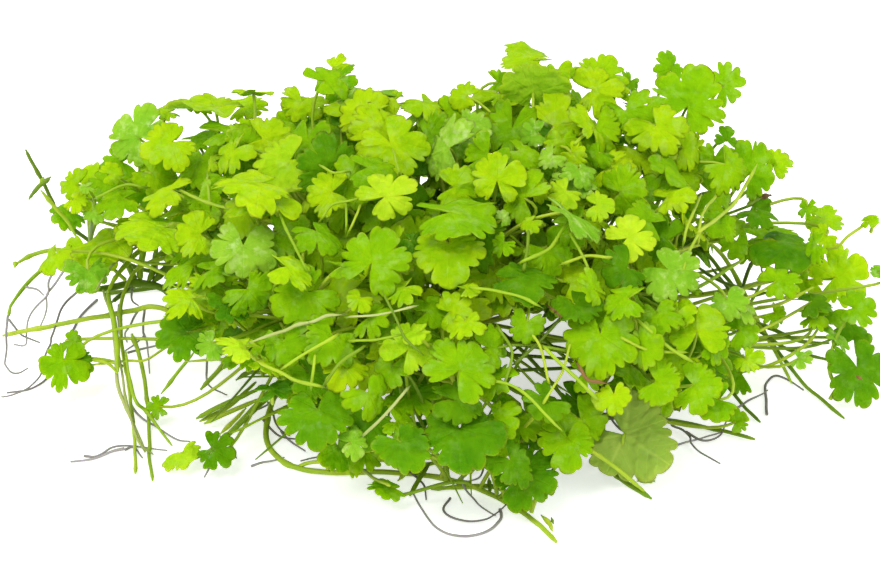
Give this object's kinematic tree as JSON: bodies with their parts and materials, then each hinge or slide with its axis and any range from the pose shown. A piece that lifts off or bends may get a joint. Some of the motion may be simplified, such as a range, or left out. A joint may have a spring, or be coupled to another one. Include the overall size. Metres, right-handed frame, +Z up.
{
  "type": "pennywort clump",
  "caption": "Loose wet clump of pennywort with lobed round leaves on thin stalks, tangled creeping stems and thread roots, lying on a flat surface.",
  "frame": {"origin": "on the surface the clump lies on, below the middle of its box", "axes": "+X along the clump's width to the right, -Y to the front as it is usually looked at, +Z up"},
  "size_m": [0.1485, 0.0928, 0.0553],
  "materials": {
    "young": "wet leaf, yellow-green",
    "light": "wet leaf, light green",
    "mid": "wet leaf, mid green",
    "dark": "wet leaf, dark green",
    "waxy": "wet leaf, pale green with a soft bloom",
    "old": "underside of an older leaf, dull olive",
    "stem": "smooth wet stem, yellow-green",
    "root": "thread root, grey-brown"
  },
  "bodies": {
    "root": {"leaf_01": "light", "leaf_02": "mid", "leaf_03": "mid", "leaf_04": "light", "leaf_05": "mid", "leaf_06": "waxy", "leaf_07": "light", "leaf_08": "light", "leaf_09": "waxy", "leaf_10": "mid", "leaf_11": "light", "leaf_12": "young", "leaf_13": "light", "leaf_14": "light", "leaf_15": "light", "leaf_16": "young", "leaf_17": "mid", "leaf_18": "light", "leaf_19": "young", "leaf_20": "dark", "leaf_21": "light", "leaf_22": "waxy", "leaf_23": "light", "leaf_24": "light", "leaf_25": "mid", "leaf_26": "dark", "leaf_27": "mid", "leaf_28": "light", "leaf_29": "dark", "leaf_30": "mid", "leaf_31": "dark", "leaf_32": "young", "leaf_33": "dark", "leaf_34": "mid", "leaf_35": "mid", "leaf_36": "dark", "leaf_37": "dark", "leaf_38": "mid", "leaf_39": "old", "leaf_40": "mid", "leaf_41": "light", "leaf_42": "light", "leaf_43": "mid", "leaf_44": "mid", "root_left": "root", "root_left_low": "root", "root_front": "root", "root_right": "root", "stem_left_long": "stem", "stem_left_fall": "stem", "stem_left_branch": "stem", "stem_left_stalk": "stem", "stem_front": "stem", "stem_front_right": "stem", "stem_right_long": "stem", "stem_right_fall": "stem", "stem_right_low": "stem", "stem_right_arm": "stem", "stem_back": "stem", "stem_arch": "stem"}
  },
  "joints": []
}
